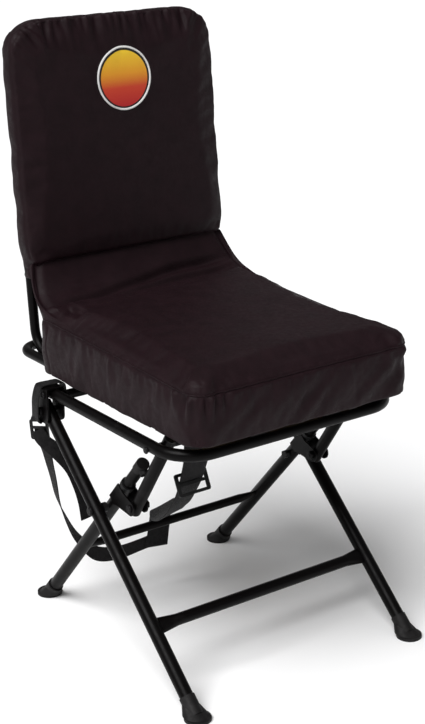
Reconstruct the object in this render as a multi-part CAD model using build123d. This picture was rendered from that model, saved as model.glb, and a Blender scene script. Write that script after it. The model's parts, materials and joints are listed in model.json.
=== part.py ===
from build123d import *
from math import atan2, cos, degrees, hypot, pi, radians, sin
import os

# Folding swivel chair for a hunting blind, millimetres, +Z up.
# The sitter faces -Y and the sitter's left is +X. Places in Y are first given from
# the swivel's axis; place() then moves every piece so that the origin lies on the
# floor under the middle of the whole chair.

os.makedirs("parts", exist_ok=True)

# ---- driving dimensions -------------------------------------------------------
LEG_R = 11.0                # 22 mm leg tube
RAIL_R = 9.5                # 19 mm base rail and front crossbar
FRAME_R = 8.0               # 16 mm seat and back frame tube
LINK_R = 10.0               # 20 mm lock link
WALL = 1.5

FRONT_LEG_X = 213.4         # front legs run outboard
REAR_LEG_X = 181.4          # rear legs and lock links run inboard
RAIL_X = 210.3
RAIL_Z = 403.5
RAIL_FRONT = -188.7
RAIL_REAR = 192.0
RAIL_BEND = 59.0

HINGE = (182.5, 372.5)      # (Y, Z) front leg's hinge in the rear bracket
SCISSOR = (43.0, 246.0)     # (Y, Z) where the two legs cross
REAR_FOOT_Y = 261.0
LOBE_ALONG = 60.4           # lock pin: up the rear leg from the scissor pivot
LOBE_OUT = 37.3             # lock pin: forward of the rear leg's axis
LINK_PIVOT_Y = -113.5
FRONT_LEG_FOLD = 36.0       # how far each leg turns from open to folded
REAR_LEG_FOLD = 119.0
TIP_ALONG = 133.0           # end of the rear leg above the scissor pivot
LEG_TOP_ALONG = 62.0        # where the full-size rear leg tube stops

FRONT_BAR_ALONG = 211.0     # crossbars, down each leg from the scissor pivot
REAR_BAR_ALONG = 148.0
REAR_BAR_R = 7.5

SEAT_TUBE_Z = 442.5
SEAT_HALF = 196.0           # seat frame tube's centre line
SEAT_FRONT = -200.0
SEAT_REAR = 300.0
SEAT_BEND = 34.0
CUSHION_HALF = 212.0
CUSHION_FRONT = -226.0
CUSHION_REAR = 215.0
CUSHION_BASE = 433.5
CUSHION_TOP = 522.0

BACK_HINGE_Y = 148.0
BACK_TUBE_X = 178.0
RECLINE = degrees(atan2(0.09, 1.0))
FACE = (246.0, 563.0)       # (Y, Z) a point on the back pad's front face
TUBE_DEPTH = 38.0           # back frame's centre line behind the pad's face
BACK_HALF = 197.0
BACK_THICK = 50.0
BACK_CREASE = 27.0          # pad's lower end, up the back from FACE
BACK_SKIRT = 2.0            # sleeve's lower end
BACK_TOP = 419.0
COVER = 1.6                 # woven cover

BOLT_R = 4.0
FIT = 0.05                  # radial clearance of a turning bolt
GAP = 0.4                   # clearance between moving faces


# ---- small helpers ------------------------------------------------------------
def turned(vector, angle):
    """A (Y, Z) vector turned about +X."""
    c = cos(radians(angle))
    s = sin(radians(angle))
    return (c * vector[0] - s * vector[1], s * vector[0] + c * vector[1])


def minus(a, b):
    return (a[0] - b[0], a[1] - b[1])


def plus(a, b, scale=1.0):
    return (a[0] + b[0] * scale, a[1] + b[1] * scale)


def unit(vector):
    length = hypot(*vector)
    return (vector[0] / length, vector[1] / length)


def along(origin, direction, distance, offset=0.0):
    """Distance along a (Y, Z) direction, then offset to its left-hand side."""
    side = turned(direction, 90)
    return plus(plus(origin, direction, distance), side, offset)


def at(x, point):
    return (x, point[0], point[1])


def bar(start, end, radius, wall=None):
    """A straight round bar, or a tube if it has a wall."""
    a = Vector(*start)
    b = Vector(*end)
    plane = Plane(origin=a, z_dir=b - a)
    ring = Circle(radius)
    if wall:
        ring = ring - Circle(radius - wall)
    return extrude(plane * ring, amount=(b - a).length)


def bent_tube(points, bend, radius):
    path = FilletPolyline(*points, radius=bend)
    ring = Circle(radius) - Circle(radius - WALL)
    return sweep(Plane(origin=path @ 0, z_dir=path % 0) * ring, path=path)


def across(x0, x1, point, radius):
    """A round bar along X through a (Y, Z) point."""
    return bar(at(x0, point), at(x1, point), radius)


def domed_head(x, point, direction, radius=7.0, height=3.6):
    """A rivet or bolt head whose flat side lies at x."""
    head = across(x, x + direction * height, point, radius)
    rim = head.edges().filter_by(GeomType.CIRCLE).sort_by(Axis.X)
    return fillet(rim[-1] if direction > 0 else rim[0], height * 0.7)


def hex_nut(x, point, direction, flats=13.0, height=6.0):
    plane = Plane(origin=at(x, point), z_dir=(direction, 0, 0))
    return extrude(plane * RegularPolygon(flats / 2, 6, major_radius=False), amount=height)


def box(x, y, z):
    """A box from its (low, high) pairs."""
    size = [high - low for low, high in (x, y, z)]
    middle = [(high + low) / 2 for low, high in (x, y, z)]
    return Pos(*middle) * Box(*size)


def rounded_box(x, y, z, corner, edge=0.0):
    """A box with rounded vertical corners and, if asked, rounded top edges."""
    body = box(x, y, z)
    body = fillet(body.edges().filter_by(Axis.Z), corner)
    if edge:
        body = fillet(body.faces().sort_by(Axis.Z)[-1].edges(), edge)
    return body


def both(build):
    """The same piece on the sitter's left (+1) and right (-1)."""
    return [build(1), build(-1)]


def ribbon(stations, width, thickness):
    """Flat webbing through stations of (point, direction across its width)."""
    points = [Vector(*point) for point, _ in stations]
    sections = []
    for i, (_, wide) in enumerate(stations):
        before = points[max(i - 1, 0)]
        after = points[min(i + 1, len(points) - 1)]
        run = (after - before).normalized()
        wide = Vector(*wide)
        wide = wide - run * wide.dot(run)
        sections.append(Plane(origin=points[i], x_dir=wide, z_dir=run) * Rectangle(width, thickness))
    return loft(sections, ruled=True)


def frame_ring(outer, inner, thickness, cross_bars):
    """A moulded strap buckle: a rounded frame in the XZ plane with bars across it."""
    plate = Rectangle(outer[0], outer[1])
    plate = fillet(plate.vertices(), 4)
    plate -= Rectangle(inner[0], inner[1])
    for height, tall in cross_bars:
        plate += Pos(0, height) * Rectangle(outer[0] - 2, tall)
    return extrude(Plane.XZ * plate, amount=thickness / 2, both=True)


# ---- worked-out places --------------------------------------------------------
FRONT_DOWN = unit(minus(SCISSOR, HINGE))
REAR_DOWN = unit(minus((REAR_FOOT_Y, 0.0), SCISSOR))
REAR_UP = (-REAR_DOWN[0], -REAR_DOWN[1])
FRONT_FOOT_Y = along(HINGE, FRONT_DOWN, HINGE[1] / -FRONT_DOWN[1])[0]
LOCK_PIN = along(SCISSOR, REAR_UP, LOBE_ALONG, LOBE_OUT)


def folded_lock_pin():
    """Where the lock pin stands once both legs are folded."""
    scissor = plus(HINGE, turned(minus(SCISSOR, HINGE), -FRONT_LEG_FOLD))
    return plus(scissor, turned(minus(LOCK_PIN, SCISSOR), -REAR_LEG_FOLD))


def link_pivot():
    """The link's fixed end, equally far from the lock pin when open and when folded."""
    a = LOCK_PIN
    b = folded_lock_pin()
    middle = ((a[0] + b[0]) / 2, (a[1] + b[1]) / 2)
    normal = turned(unit(minus(b, a)), 90)
    return plus(middle, normal, (LINK_PIVOT_Y - middle[0]) / normal[0])


LINK_PIVOT = link_pivot()
LINK_DOWN = unit(minus(LOCK_PIN, LINK_PIVOT))
LINK_LENGTH = hypot(*minus(LOCK_PIN, LINK_PIVOT))


def link_fold():
    a = minus(LOCK_PIN, LINK_PIVOT)
    b = minus(folded_lock_pin(), LINK_PIVOT)
    return degrees(atan2(b[1], b[0]) - atan2(a[1], a[0]))


def on_back(across_x, depth, height):
    """A point on the reclined back, from its front face."""
    y, z = turned((depth, height), -RECLINE)
    return (across_x, FACE[0] + y, FACE[1] + z)


def reclined(shape):
    """A shape drawn with its front face at Y = 0 and its foot at Z = 0, set on the back."""
    return Pos(0, FACE[0], FACE[1]) * Rot(-RECLINE, 0, 0) * shape


FOOT_R = 21.0
MIDDLE_Y = (FRONT_FOOT_Y - FOOT_R + on_back(0, BACK_THICK, BACK_TOP)[1]) / 2


def place(node, shape):
    """Write one node, as separate solids, with the origin under the chair's middle."""
    solids = []
    for piece in shape if isinstance(shape, list) else [shape]:
        solids += (Pos(0, -MIDDLE_Y, 0) * piece).solids()
    export_step(solids[0] if len(solids) == 1 else Compound(children=solids), "parts/%s.step" % node)


# ---- base: rail, brackets and cross members -----------------------------------
RAIL_IN = RAIL_X - RAIL_R
RAIL_OUT = RAIL_X + RAIL_R
RAIL_TOP = RAIL_Z + RAIL_R
PLATE = 3.0
CHEEK_OUT = FRONT_LEG_X + LEG_R + 1.0
CHEEK_IN = RAIL_IN - 1.2
BRACKET_RIVET = (171.0, RAIL_Z)


def base_rail():
    corners = [(-RAIL_X, RAIL_REAR, RAIL_Z), (-RAIL_X, RAIL_FRONT, RAIL_Z)]
    corners += [(RAIL_X, RAIL_FRONT, RAIL_Z), (RAIL_X, RAIL_REAR, RAIL_Z)]
    rail = bent_tube(corners, RAIL_BEND, RAIL_R)
    for side in (1, -1):
        for point in (BRACKET_RIVET, LINK_PIVOT):
            rail -= across(side * (RAIL_IN - 2), side * (RAIL_OUT + 2), point, BOLT_R)
    return rail


def rear_bracket(side):
    """A folded saddle over the end of the rail, with a cheek each side of the front leg."""
    y = (158.0, 192.0)
    low = HINGE[1] - 17.0
    cheeks = []
    for x in (CHEEK_OUT, CHEEK_IN - PLATE):
        cheek = box((x, x + PLATE), y, (low, RAIL_TOP + PLATE))
        lower = [e for e in cheek.edges().filter_by(Axis.X) if e.center().Z < low + 1]
        cheeks.append(fillet(lower, 12.0))
    saddle = box((CHEEK_IN - PLATE, CHEEK_OUT + PLATE), y, (RAIL_TOP + 0.1, RAIL_TOP + PLATE))
    bracket = cheeks[0] + cheeks[1] + saddle
    bracket = fillet([e for e in bracket.edges().filter_by(Axis.Y) if e.center().Z > RAIL_TOP + 2], 2.8)
    bracket -= across(CHEEK_IN - 9, CHEEK_OUT + 9, HINGE, BOLT_R)
    bracket -= across(CHEEK_IN - 9, CHEEK_OUT + 9, BRACKET_RIVET, BOLT_R)
    return bracket if side > 0 else mirror(bracket, Plane.YZ)


def bracket_rivet(side):
    rivet = across(side * (CHEEK_IN - PLATE - 2), side * (CHEEK_OUT + PLATE), BRACKET_RIVET, BOLT_R)
    rivet += domed_head(side * (CHEEK_OUT + PLATE), BRACKET_RIVET, side, 6.0, 2.6)
    return rivet + domed_head(side * (CHEEK_IN - PLATE), BRACKET_RIVET, -side, 6.0, 2.6)


def hinge_bolt(side):
    bolt = across(side * (CHEEK_IN - PLATE - 8), side * (CHEEK_OUT + PLATE), HINGE, BOLT_R)
    return bolt + domed_head(side * (CHEEK_OUT + PLATE), HINGE, side)


def hinge_nut(side):
    x = side * (CHEEK_IN - PLATE)
    return hex_nut(x, HINGE, -side) - across(x, x - side * 9, HINGE, BOLT_R)


CROSS_ROD_R = 6.0
REAR_TUBE = (148.0, RAIL_TOP - FRAME_R)


def link_rivet(side):
    rivet = across(side * (RAIL_IN + 0.1), side * (RAIL_OUT + 0.1), LINK_PIVOT, BOLT_R)
    return rivet + domed_head(side * (RAIL_OUT + 0.05), LINK_PIVOT, side, 5.5, 2.4)


# ---- base: lower half of the swivel -------------------------------------------
SWIVEL_BAR_X = 72.0
SWIVEL_BAR_TOP = RAIL_TOP + 4.1
LOWER_TOP = SWIVEL_BAR_TOP + PLATE
RACE_IN = 48.0
RACE_OUT = 62.0
BALL_R = 2.5
BALL_RING = 55.0
BALL_Z = LOWER_TOP + 4.6
UPPER_BASE = BALL_Z + 4.9
UPPER_TOP = UPPER_BASE + PLATE
PLATE_HALF = 88.0
CENTRE_BOLT_R = 5.0
SCREW_XY = [(x * SWIVEL_BAR_X, y * 72.0) for x in (-1, 1) for y in (-1, 1)]


def swivel_bar(side):
    x = side * SWIVEL_BAR_X
    strip = box((x - 15, x + 15), (RAIL_FRONT - 4, REAR_TUBE[0] + 5), (RAIL_TOP + 0.1, SWIVEL_BAR_TOP))
    for y in (-72.0, 72.0):
        strip -= Pos(x, y, SWIVEL_BAR_TOP) * Cylinder(3.0, 20)
    return strip


def swivel_plate(base):
    plate = rounded_box((-PLATE_HALF, PLATE_HALF), (-PLATE_HALF, PLATE_HALF), (base, base + PLATE), 14)
    for x, y in SCREW_XY:
        plate -= Pos(x, y, base) * Cylinder(3.0, 20)
    return plate - Pos(0, 0, base) * Cylinder(CENTRE_BOLT_R + 0.08, 20)


def race(low, high):
    ring = Cylinder(RACE_OUT, high - low) - Cylinder(RACE_IN, high - low)
    groove = Pos(0, 0, BALL_Z) * Torus(BALL_RING, BALL_R + 0.35)
    return Pos(0, 0, (low + high) / 2) * ring - groove


def ball_ring():
    count = 24
    balls = []
    for i in range(count):
        angle = 2 * pi * i / count
        balls.append(Pos(BALL_RING * cos(angle), BALL_RING * sin(angle), BALL_Z) * Sphere(BALL_R))
    return balls


NUT_TOP = UPPER_TOP + 10.0


def centre_bolt():
    bolt = Pos(0, 0, (SWIVEL_BAR_TOP + NUT_TOP) / 2) * Cylinder(CENTRE_BOLT_R, NUT_TOP - SWIVEL_BAR_TOP)
    head = extrude(Plane.XY.offset(SWIVEL_BAR_TOP) * RegularPolygon(8.5, 6, major_radius=False), amount=-6)
    return bolt + head


def centre_nut():
    washer = Pos(0, 0, UPPER_TOP + GAP + 1.0) * Cylinder(11, 2.0)
    nut = extrude(Plane.XY.offset(UPPER_TOP + GAP + 2.0) * RegularPolygon(8.5, 6, major_radius=False), amount=6.5)
    hole = Pos(0, 0, UPPER_TOP) * Cylinder(CENTRE_BOLT_R, 40)
    return [washer - hole, nut - hole]


def plate_screws(head_z, length):
    screws = []
    for x, y in SCREW_XY:
        screw = Pos(x, y, head_z - length / 2) * Cylinder(3.0, length)
        screws.append(screw + Pos(x, y, head_z + 0.9) * Cylinder(5.0, 1.8))
    return screws


# ---- legs ---------------------------------------------------------------------
SPACER_GAP = FRONT_LEG_X - LEG_R - (REAR_LEG_X + LEG_R)


def shallow_end(origin, direction, height):
    """The point on a leg's axis at a height above the floor."""
    return along(origin, direction, (origin[1] - height) / -direction[1])


FOOT_SOCKET = 8.0


def front_leg(side):
    x = side * FRONT_LEG_X
    top = along(HINGE, FRONT_DOWN, -14.0)
    low = shallow_end(HINGE, FRONT_DOWN, FOOT_SOCKET)
    leg = bar(at(x, top), at(x, low), LEG_R, WALL)
    leg -= across(x - 20, x + 20, HINGE, BOLT_R + FIT)
    leg -= across(x - 20, x + 20, SCISSOR, BOLT_R)
    return leg


def rear_leg(side):
    x = side * REAR_LEG_X
    top = along(SCISSOR, REAR_UP, LEG_TOP_ALONG)
    low = shallow_end(SCISSOR, REAR_DOWN, FOOT_SOCKET)
    leg = bar(at(x, top), at(x, low), LEG_R, WALL)
    leg -= across(x - 20, x + 20, SCISSOR, BOLT_R)
    return leg


def leg_tip(side):
    """The slimmer tube plugged into the rear leg's upper end."""
    x = side * REAR_LEG_X
    low = along(SCISSOR, REAR_UP, LEG_TOP_ALONG - 34.0)
    high = along(SCISSOR, REAR_UP, TIP_ALONG - 4.0)
    return bar(at(x, low), at(x, high), LEG_R - WALL - 0.1, WALL)


def leg_collar(side):
    """The moulded ring that closes the step between the leg and its tip."""
    x = side * REAR_LEG_X
    low = along(SCISSOR, REAR_UP, LEG_TOP_ALONG + 0.1)
    high = along(SCISSOR, REAR_UP, LEG_TOP_ALONG + 8.0)
    return bar(at(x, low), at(x, high), LEG_R + 1.2) - bar(at(x, low), at(x, high), LEG_R - WALL)


def tip_bumper(side):
    """A rubber cap on the tip; its nose lies against the lock link."""
    x = side * REAR_LEG_X
    low = at(x, along(SCISSOR, REAR_UP, TIP_ALONG - 18.0))
    stop = at(x, along(SCISSOR, REAR_UP, TIP_ALONG - 3.9))
    high = at(x, along(SCISSOR, REAR_UP, TIP_ALONG + 1.0))
    cap = bar(low, high, LEG_R - 0.4)
    nose = along(SCISSOR, REAR_UP, TIP_ALONG - 9.0)
    cap += bar(at(x, nose), at(x, along(nose, REAR_UP, 0, 15.0)), 7.0)
    link = bar(at(x, plus(LINK_PIVOT, LINK_DOWN, -20)), at(x, LOCK_PIN), LINK_R + 0.3)
    return cap - bar(low, stop, LEG_R - WALL) - link


def flared_ends(bar_half, point, run, reach, radius, thickness):
    """A crossbar whose tube ends are pressed flat and spread where they meet the legs."""
    straight = bar_half - reach
    tube = bar(at(-straight, point), at(straight, point), radius, WALL)
    pieces = [tube]
    for side in (1, -1):
        inner = Plane(origin=at(side * straight, point), x_dir=(0, run[0], run[1]), z_dir=(side, 0, 0))
        outer = Plane(origin=at(side * bar_half, point), x_dir=(0, run[0], run[1]), z_dir=(side, 0, 0))
        flat = Ellipse(radius * 1.45, thickness)
        pieces.append(loft([inner * Circle(radius), outer * flat]))
    result = pieces[0]
    for piece in pieces[1:]:
        result += piece
    return result


def clear_of_legs(crossbar, leg_x, point, run):
    """The crossbar's ends follow the legs they are welded to."""
    for x in (-leg_x, leg_x):
        crossbar -= bar(at(x, plus(point, run, -60)), at(x, plus(point, run, 60)), LEG_R + 0.05)
    return crossbar


def front_crossbar():
    point = along(SCISSOR, FRONT_DOWN, FRONT_BAR_ALONG)
    crossbar = flared_ends(FRONT_LEG_X - LEG_R + 1.5, point, FRONT_DOWN, 34.0, RAIL_R, 5.0)
    return clear_of_legs(crossbar, FRONT_LEG_X, point, FRONT_DOWN)


def rear_crossbar():
    point = along(SCISSOR, REAR_DOWN, REAR_BAR_ALONG)
    crossbar = flared_ends(REAR_LEG_X - LEG_R + 1.5, point, REAR_DOWN, 30.0, REAR_BAR_R, 4.0)
    return clear_of_legs(crossbar, REAR_LEG_X, point, REAR_DOWN)


def foot(x, foot_y, down, sleeve_r=12.6, sleeve=38.0):
    """A rubber tip: a sleeve up the leg and a flared sole flat on the floor."""
    base = (foot_y, 0.0)
    neck = plus(base, down, -sleeve)
    body = bar(at(x, plus(base, down, -6.0)), at(x, neck), sleeve_r)
    sole = Plane.XY.offset(5.0)
    centre = plus(base, down, -5.0 / -down[1])
    flare_z = 17.0
    upper = plus(base, down, -flare_z / -down[1])
    low_ring = Pos(x, base[0], 0) * (Plane.XY * Circle(FOOT_R))
    flare = loft([Pos(x, centre[0], 0) * (sole * Circle(FOOT_R - 0.8)),
                  Pos(x, upper[0], 0) * (Plane.XY.offset(flare_z) * Circle(sleeve_r + 0.6))])
    body += extrude(low_ring, amount=5.0)
    body += flare
    body -= box((x - 40, x + 40), (foot_y - 60, foot_y + 60), (-40, 0))
    socket = bar(at(x, plus(base, down, -FOOT_SOCKET / -down[1])), at(x, plus(neck, down, -9)), LEG_R)
    return body - socket


# ---- lock plates, links and pivots --------------------------------------------
LOCK_PLATE = 2.5


def lock_plate(side):
    """Two flat plates on the rear leg, their lobes reaching forward to the lock pin."""
    plates = []
    for face in (1, -1):
        x = side * REAR_LEG_X + face * (LEG_R + 0.1)
        low = along(SCISSOR, REAR_UP, 24.0)
        high = along(SCISSOR, REAR_UP, 62.0)
        outline = [along(low, REAR_UP, 0, -8.0), along(high, REAR_UP, 0, -8.0)]
        outline += [along(high, REAR_UP, 0, 9.0), plus(LOCK_PIN, unit(minus(high, LOCK_PIN)), 4)]
        outline += [along(low, REAR_UP, 0, 10.0)]
        plane = Plane(origin=(x, 0, 0), x_dir=(0, 1, 0), z_dir=(1, 0, 0))
        web = make_face(Polyline(*outline, close=True))
        arm_start = along(SCISSOR, REAR_UP, 40.0)
        arm = unit(minus(LOCK_PIN, arm_start))
        width = turned(arm, 90)
        strip = [plus(arm_start, width, 17), plus(LOCK_PIN, width, 12)]
        strip += [plus(LOCK_PIN, width, -12), plus(arm_start, width, -17)]
        web += make_face(Polyline(*strip, close=True))
        web += Pos(*LOCK_PIN) * Circle(12)
        web -= Pos(*LOCK_PIN) * Circle(BOLT_R + FIT)
        plate = extrude(plane * web, amount=LOCK_PLATE * face)
        plates.append(plate)
    return plates


def link(side):
    """The lock link: a tube from the front cross rod to the lock pin."""
    x = side * REAR_LEG_X
    tube = bar(at(x, plus(LINK_PIVOT, LINK_DOWN, -15.0)), at(x, plus(LOCK_PIN, LINK_DOWN, 11.0)), LINK_R, WALL)
    tube -= across(x - 20, x + 20, LINK_PIVOT, CROSS_ROD_R + FIT)
    return tube - across(x - 20, x + 20, LOCK_PIN, BOLT_R)


def link_cap(side):
    """Plastic plugs in the two open ends of a link."""
    x = side * REAR_LEG_X
    plugs = []
    for end, way in ((plus(LINK_PIVOT, LINK_DOWN, -15.0), -1), (plus(LOCK_PIN, LINK_DOWN, 11.0), 1)):
        inner = bar(at(x, plus(end, LINK_DOWN, -way * 4.0)), at(x, end), LINK_R - WALL)
        rim = bar(at(x, end), at(x, plus(end, LINK_DOWN, way * 1.6)), LINK_R)
        plugs.append(inner + rim)
    return plugs


def lock_bolt(side):
    """The lock pin: a bolt through both plates and the link's end."""
    x = side * REAR_LEG_X
    reach = LEG_R + LOCK_PLATE + 0.2
    bolt = across(x - side * (reach + 7), x + side * reach, LOCK_PIN, BOLT_R)
    return bolt + domed_head(x + side * reach, LOCK_PIN, side, 6.5, 3.2)


def lock_nut(side):
    x = side * (REAR_LEG_X - LEG_R - LOCK_PLATE - 0.2)
    return hex_nut(x, LOCK_PIN, -side) - across(x, x - side * 9, LOCK_PIN, BOLT_R)


def scissor_bolt(side):
    """The front leg's half of the scissor pivot; it stops short of the rear leg."""
    inner = FRONT_LEG_X - LEG_R
    bolt = across(side * inner, side * (FRONT_LEG_X + LEG_R + 0.1), SCISSOR, BOLT_R)
    return bolt + domed_head(side * (FRONT_LEG_X + LEG_R + 0.05), SCISSOR, side)


def scissor_spacer(side):
    inner = FRONT_LEG_X - LEG_R
    return across(side * (inner - SPACER_GAP + 3.4), side * (inner - 0.05), SCISSOR, 8.0)


def scissor_nut(side):
    """The rear leg's half of the scissor pivot."""
    inner = REAR_LEG_X - LEG_R
    stud = across(side * (inner - 2), side * (REAR_LEG_X + LEG_R), SCISSOR, BOLT_R)
    return stud + hex_nut(side * (inner - 0.05), SCISSOR, -side, 13.0, 7.0)


# ---- seat ---------------------------------------------------------------------
BACK_HINGE = (BACK_HINGE_Y, SEAT_TUBE_Z)
SEAT_BAR = 4.6


def seat_frame():
    """A closed loop of tube: its rear end stands out behind the cushion."""
    middle = (SEAT_FRONT + SEAT_REAR) / 2
    loop = None
    for side in (1, -1):
        corners = [(0, SEAT_FRONT, SEAT_TUBE_Z), (side * SEAT_HALF, SEAT_FRONT, SEAT_TUBE_Z)]
        corners += [(side * SEAT_HALF, middle, SEAT_TUBE_Z), (side * SEAT_HALF, SEAT_REAR, SEAT_TUBE_Z)]
        corners += [(0, SEAT_REAR, SEAT_TUBE_Z)]
        corners.pop(2)
        half = bent_tube(corners, SEAT_BEND, FRAME_R)
        loop = half if loop is None else loop + half
    for side in (1, -1):
        loop -= across(side * (SEAT_HALF - 12), side * (SEAT_HALF + 12), BACK_HINGE, BOLT_R)
    return loop


def seat_bar(y):
    inner = SEAT_HALF - FRAME_R + 0.4
    strip = box((-inner, inner), (y - 17, y + 17), (UPPER_TOP + 0.1, UPPER_TOP + SEAT_BAR))
    for x, screw_y in SCREW_XY:
        strip -= Pos(x, screw_y, UPPER_TOP) * Cylinder(3.0, 30)
    return strip


def seat_board():
    base = UPPER_TOP + SEAT_BAR + 2.0
    board = rounded_box((-160, 160), (SEAT_FRONT + 12, 196), (base, base + 6), 30)
    return board - Pos(0, 0, base) * Cylinder(16, 30)


def cushion_blank(inset, low):
    y = (CUSHION_FRONT + inset, CUSHION_REAR - inset)
    x = (-CUSHION_HALF + inset, CUSHION_HALF - inset)
    return rounded_box(x, y, (low, CUSHION_TOP - inset), 36 - inset, 16 - inset * 0.6)


FOAM_BASE = SEAT_TUBE_Z + FRAME_R + 1.0


def frame_slots():
    """Slots at the rear corners, which the folding back's feet rise through."""
    half = FRAME_R + 2.0
    slots = []
    for side in (1, -1):
        x = sorted((side * (BACK_TUBE_X - half), side * (BACK_TUBE_X + half)))
        slots.append(box(x, (BACK_HINGE_Y - 20, CUSHION_REAR + 5), (CUSHION_BASE - 5, CUSHION_TOP + 5)))
    return slots


def seat_foam():
    foam = cushion_blank(COVER + 0.3, FOAM_BASE)
    for slot in frame_slots():
        foam -= slot
    return foam


def seat_cover():
    """A woven cover: it goes over the foam and down round the seat frame."""
    shell = cushion_blank(0, CUSHION_BASE)
    inner = COVER + 0.2
    shell -= rounded_box((-CUSHION_HALF + inner, CUSHION_HALF - inner),
                         (CUSHION_FRONT + inner, CUSHION_REAR - inner),
                         (CUSHION_BASE - 5, CUSHION_TOP - inner), 36 - inner, 16 - inner * 0.6)
    side_strip = SEAT_HALF + FRAME_R + 0.6
    shell -= box((-side_strip, side_strip), (CUSHION_REAR - 30, CUSHION_REAR + 5), (CUSHION_BASE - 5, FOAM_BASE))
    for slot in frame_slots():
        shell -= slot
    return shell


# ---- back ---------------------------------------------------------------------
FOOT_BEND = 42.0
BACK_BEND = 46.0
HINGE_WASHER_X = (BACK_TUBE_X + FRAME_R + 0.2, SEAT_HALF - FRAME_R - 0.2)


def back_corner(side, height):
    return on_back(side * BACK_TUBE_X, TUBE_DEPTH, height)


def back_frame():
    """A U of tube whose feet bend forward to hinges inside the seat frame."""
    heel_height = (SEAT_TUBE_Z - FACE[1] + TUBE_DEPTH * sin(radians(RECLINE))) / cos(radians(RECLINE))
    top = BACK_TOP - 14.0 - FRAME_R
    frame = None
    for side in (1, -1):
        heel = back_corner(side, heel_height)
        corners = [(side * BACK_TUBE_X, BACK_HINGE_Y - 13, SEAT_TUBE_Z), (heel[0], heel[1], SEAT_TUBE_Z)]
        corners += [back_corner(side, top), on_back(0, TUBE_DEPTH, top)]
        half = bent_tube(corners, (FOOT_BEND, BACK_BEND), FRAME_R)
        frame = half if frame is None else frame + half
    for side in (1, -1):
        x = side * BACK_TUBE_X
        frame -= across(x - 12, x + 12, BACK_HINGE, BOLT_R + FIT)
    return frame


def back_cross_tube(height):
    inner = BACK_TUBE_X - FRAME_R - 0.2
    return bar(on_back(-inner, TUBE_DEPTH, height), on_back(inner, TUBE_DEPTH, height), 6.0, WALL)


def back_bolt(side):
    outer = SEAT_HALF + FRAME_R + 0.1
    bolt = across(side * (BACK_TUBE_X - FRAME_R - 6), side * outer, BACK_HINGE, BOLT_R)
    return bolt + domed_head(side * outer, BACK_HINGE, side, 6.0, 1.4)


def back_nut(side):
    x = side * (BACK_TUBE_X - FRAME_R - GAP)
    nut = hex_nut(x, BACK_HINGE, -side, 12.0, 5.0)
    return nut - across(x + side * 2, x - side * 9, BACK_HINGE, BOLT_R)


def back_washer(side):
    low, high = HINGE_WASHER_X
    ring = across(side * (low + 0.1), side * high, BACK_HINGE, 7.0)
    return ring - across(side * (low - 2), side * (high + 2), BACK_HINGE, BOLT_R)


def back_stop(side):
    """A stud on the seat frame that the back's foot rests on."""
    y = BACK_HINGE_Y + 26.0
    z = SEAT_TUBE_Z - FRAME_R - 3.6
    return bar((side * (SEAT_HALF - 3), y, z), (side * (BACK_TUBE_X - 7), y, z), 3.3)


def back_blank(inset, low):
    shape = box((-BACK_HALF + inset, BACK_HALF - inset), (inset, BACK_THICK - inset), (low, BACK_TOP - inset))
    upright = shape.edges().filter_by(Axis.Y).sort_by(Axis.Z)[-2:]
    shape = fillet(upright, 32 - inset)
    return fillet(shape.faces().sort_by(Axis.Y)[0].edges().sort_by(Axis.Z)[1:], 8 - inset * 0.6)


def back_foam():
    """A slab in front of the back frame's tubes."""
    inset = COVER + 0.3
    slab = back_blank(inset, BACK_CREASE + 1)
    slab &= box((-300, 300), (-5, TUBE_DEPTH - FRAME_R - 0.6), (0, 500))
    return reclined(slab)


def back_cover():
    """A sleeve pulled down over the foam and the frame, open at the bottom."""
    inner = COVER + 0.2
    sleeve = back_blank(0, BACK_SKIRT)
    sleeve -= back_blank(inner, BACK_SKIRT - 10)
    front_trim = box((-300, 300), (-5, TUBE_DEPTH - FRAME_R - 4), (-20, BACK_CREASE))
    return reclined(sleeve - front_trim)


def cover_flap():
    """Loose cloth from the cushion's rear edge up to the lower end of the back pad."""
    crease = on_back(0, 2.0, BACK_CREASE - 3.0)
    profile = [(140.0, CUSHION_TOP + 1.4), (192.0, CUSHION_TOP + 8.0), (226.0, CUSHION_TOP + 30.0)]
    profile.append((crease[1], crease[2]))
    path = Spline(*[(0, y, z) for y, z in profile], tangents=[(0, 1, 0.02), (0, 0.35, 1)])
    strip = Rectangle(2 * BACK_HALF - 22, COVER)
    return sweep(Plane(origin=path @ 0, x_dir=(1, 0, 0), z_dir=path % 0) * strip, path=path)


PATCH_R = 51.0
PATCH_X = 10.0
PATCH_HEIGHT = 322.0


def back_patch():
    """A plain round sewn patch, standing just clear of the cover's front."""
    patch = bar((0, -1.4, 0), (0, -0.2, 0), PATCH_R)
    return reclined(Pos(PATCH_X, 0, PATCH_HEIGHT) * patch)


# ---- carry strap --------------------------------------------------------------
WIDE = 48.0
NARROW = 25.0
WEB = 1.8
SLIDER_AT = (-121.0, -84.0, 312.0)
BUCKLE_AT = (-220.5, 201.0, 334.0)

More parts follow.
